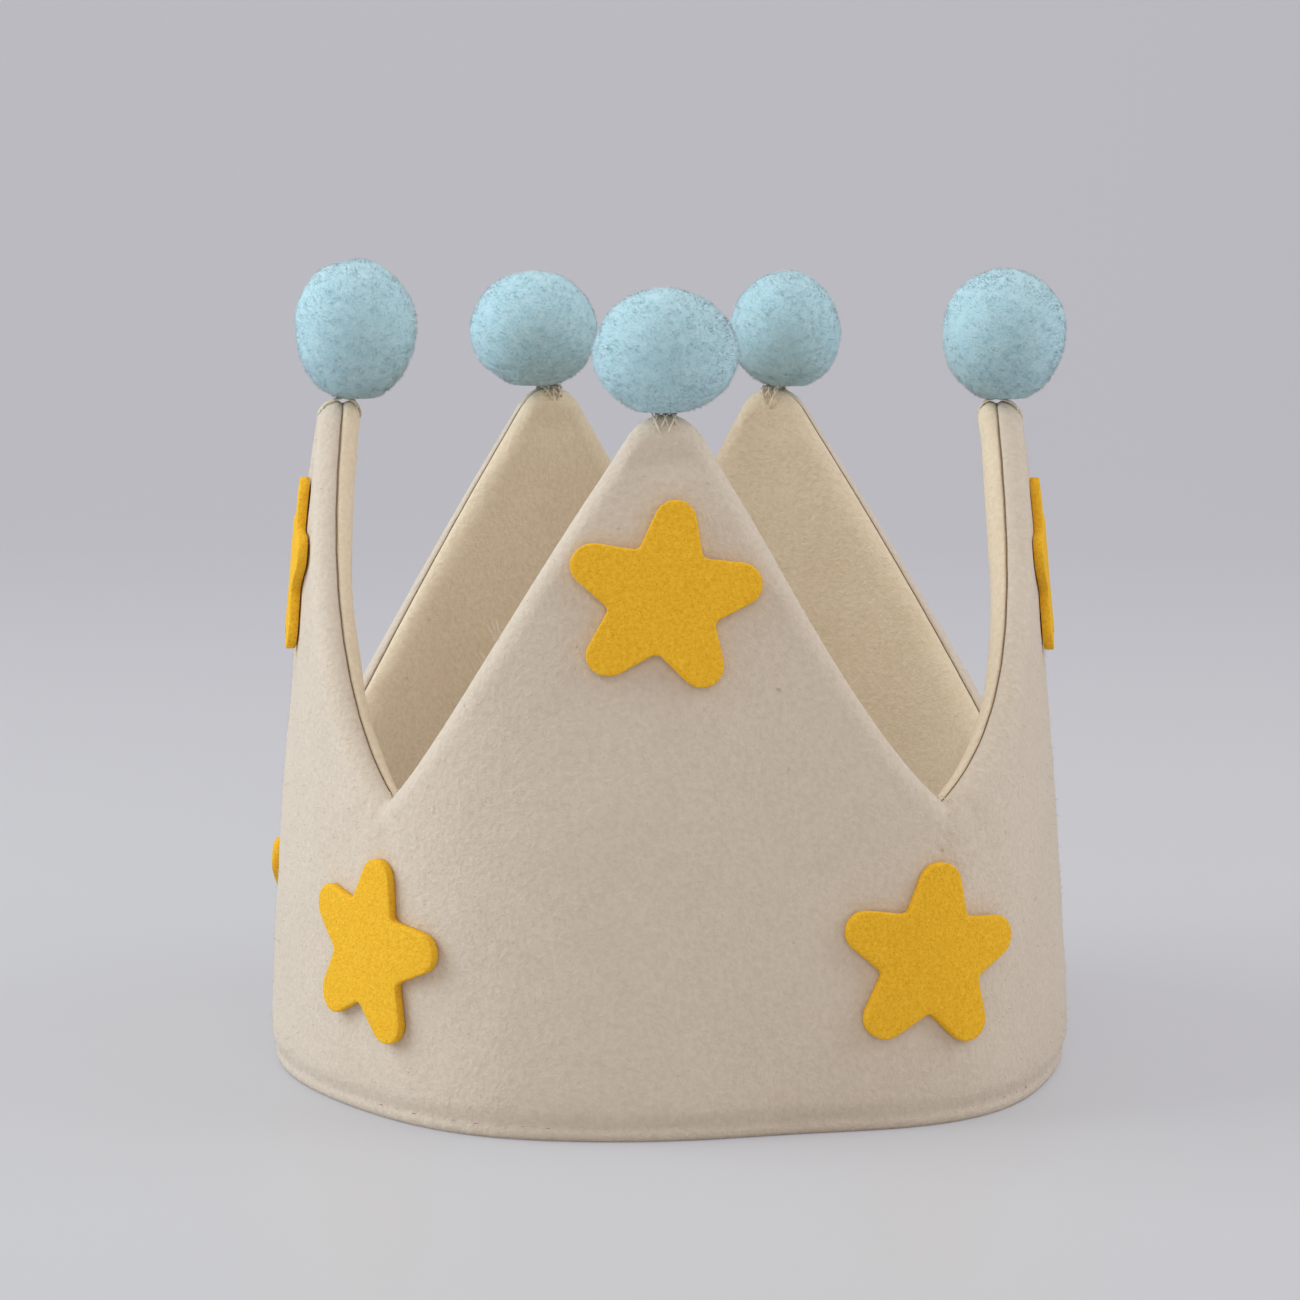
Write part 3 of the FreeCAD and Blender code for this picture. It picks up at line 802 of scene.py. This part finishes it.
def stage_material(name, near, far):
    """Plain paper, a little darker far back, that shows its own colour and takes the crown's shadow."""
    sheet = Material(name, roughness=0.45)
    path = sheet.tree.nodes.new("ShaderNodeLightPath")
    both = sheet.tree.nodes.new("ShaderNodeMath")
    both.operation = "MAXIMUM"
    sheet.link(path.outputs["Is Camera Ray"], both.inputs[0])
    sheet.link(path.outputs["Is Glossy Ray"], both.inputs[1])
    seen = both.outputs["Value"]
    grain = sheet.ramp(sheet.noise(9, 2), [(0.3, linear(203, 202, 206)), (0.7, linear(206, 206, 210))])
    sheet.colour(sheet.mix(seen, grain, (STAGE_SHARE, STAGE_SHARE, STAGE_SHARE)))
    axes = sheet.tree.nodes.new("ShaderNodeSeparateXYZ")
    sheet.link(sheet.coordinates, axes.inputs["Vector"])
    reach = sheet.tree.nodes.new("ShaderNodeMapRange")
    reach.inputs["From Min"].default_value = -0.2
    reach.inputs["From Max"].default_value = 1.6
    sheet.link(axes.outputs["Y"], reach.inputs["Value"])
    glow = sheet.ramp(reach.outputs["Result"], [(0.0, near), (1.0, far)])
    sheet.link(glow, sheet.shader.inputs["Emission Color"])
    sheet.link(seen, sheet.shader.inputs["Emission Strength"])
    return sheet.material


def dress(piece, material):
    piece.data.materials.clear()
    piece.data.materials.append(material)


def make_backdrop():
    """A floor that sweeps up into the backdrop."""
    profile = [(STAGE_FRONT, 0.0), (0.4, 0.0)]
    for step in range(0, 13):
        turn = math.radians(90 * step / 12)
        back = STAGE_DEPTH - STAGE_BEND + STAGE_BEND * math.sin(turn)
        profile.append((back, STAGE_BEND - STAGE_BEND * math.cos(turn)))
    profile.append((STAGE_DEPTH, STAGE_RISE))
    sides = (-STAGE_HALF_WIDTH, STAGE_HALF_WIDTH)
    points = [(x, y, z - FLOOR_GAP) for y, z in profile for x in sides]
    faces = [[2 * i, 2 * i + 1, 2 * i + 3, 2 * i + 2] for i in range(len(profile) - 1)]
    sweep = add_mesh("backdrop", points, faces)
    dress(sweep, stage_material("backdrop_paper", STAGE_NEAR, STAGE_FAR))


def make_world():
    world = bpy.data.worlds.new("studio")
    bpy.context.scene.world = world
    world.use_nodes = True
    background = world.node_tree.nodes["Background"]
    background.inputs["Color"].default_value = WORLD_COLOUR
    background.inputs["Strength"].default_value = WORLD_STRENGTH


def make_lamp(name, where, aim, size, power, colour):
    data = bpy.data.lights.new(name, "AREA")
    data.shape = "RECTANGLE"
    data.size, data.size_y = size, size
    data.energy = power
    data.color = colour
    item = bpy.data.objects.new(name, data)
    item.location = where
    item.rotation_euler = (Vector(aim) - Vector(where)).to_track_quat("-Z", "Y").to_euler()
    bpy.context.scene.collection.objects.link(item)


def make_camera():
    data = bpy.data.cameras.new("camera")
    data.lens = CAMERA_LENS
    data.sensor_width = CAMERA_SENSOR
    camera = bpy.data.objects.new("camera", data)
    camera.location = CAMERA_PLACE
    camera.rotation_euler = (math.radians(CAMERA_PITCH), 0, 0)
    bpy.context.scene.collection.objects.link(camera)
    bpy.context.scene.camera = camera


for item in list(bpy.data.objects):
    bpy.data.objects.remove(item)
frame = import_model()

outer, outer_face = make_felt("outer_felt_sheet", OUTER_BULGE, 1, 1.1, (9, 88, 14))
lining, lining_face = make_felt("lining_sheet", LINING_BULGE, -1, 1.3, (9, 72, 12))
wadding = make_wadding()
nap = [
    felt_nap("outer_nap", outer_face, 1, OUTER_NAP),
    felt_nap("lining_nap", lining_face, -1, LINING_NAP),
]
outer_felt = felt_material(
    "outer_felt",
    light=linear(221, 207, 192),
    dark=linear(209, 194, 177),
    fleck=linear(194, 175, 154),
)
lining_felt = felt_material(
    "lining_felt",
    light=linear(236, 220, 196),
    dark=linear(224, 205, 178),
    fleck=linear(204, 182, 154),
)
for piece, material, slot in (
    (outer, outer_felt, "outer_felt"),
    (lining, lining_felt, "lining_felt"),
    (wadding, wadding_material(), "padding"),
    (nap[0], outer_felt, "outer_felt"),
    (nap[1], lining_felt, "lining_felt"),
):
    dress(piece, material)
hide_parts("outer_felt")
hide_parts("lining")
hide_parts("padding")

pale_thread = thread_material("tie_thread", linear(238, 229, 214), linear(204, 187, 164))
# Painted shade: the seam thread's dark brown stands in for the shade in the groove between the two felts.
groove_shade_thread = thread_material("seam_line_groove_shade", linear(150, 126, 100), linear(112, 92, 72))
# Partly painted shade: the hem stitches are real, and their dark brown stands in for the shade of the sunk
# stitches and needle holes.
stitch_hole_shade_thread = thread_material("stitch_hole_shade_thread", linear(158, 136, 112), linear(116, 98, 80))
fray = thread_material("fray", linear(226, 214, 200), linear(206, 190, 172))
threads = [hem_stitches(), pompom_ties(), seam_line_groove_shade(), valley_tufts()]
for thread, material in zip(threads, (stitch_hole_shade_thread, pale_thread, groove_shade_thread, fray)):
    dress(thread, material)

foam = foam_material()
stars = []
for name, (angle, height, turn) in STARS.items():
    star = make_star(name, angle, height, turn)
    dress(star, foam)
    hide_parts(name)
    stars.append(star)

pile = pile_material()
pompoms = []
for name, sizes in POMPOMS.items():
    pompom = make_pompom(name, *sizes)
    dress(pompom, pile)
    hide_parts(name)
    pompoms.append(pompom)

tape = tape_material()
for name in ("hook_strip", "loop_strip"):
    dress(frame["nodes"][name], tape)

for piece in [outer, lining, wadding, *nap, *threads, *stars, *pompoms]:
    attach(piece, "root")

make_backdrop()
make_world()
for name, settings in LAMPS.items():
    make_lamp(name, *settings)
make_camera()
bpy.context.scene.view_settings.view_transform = "Standard"
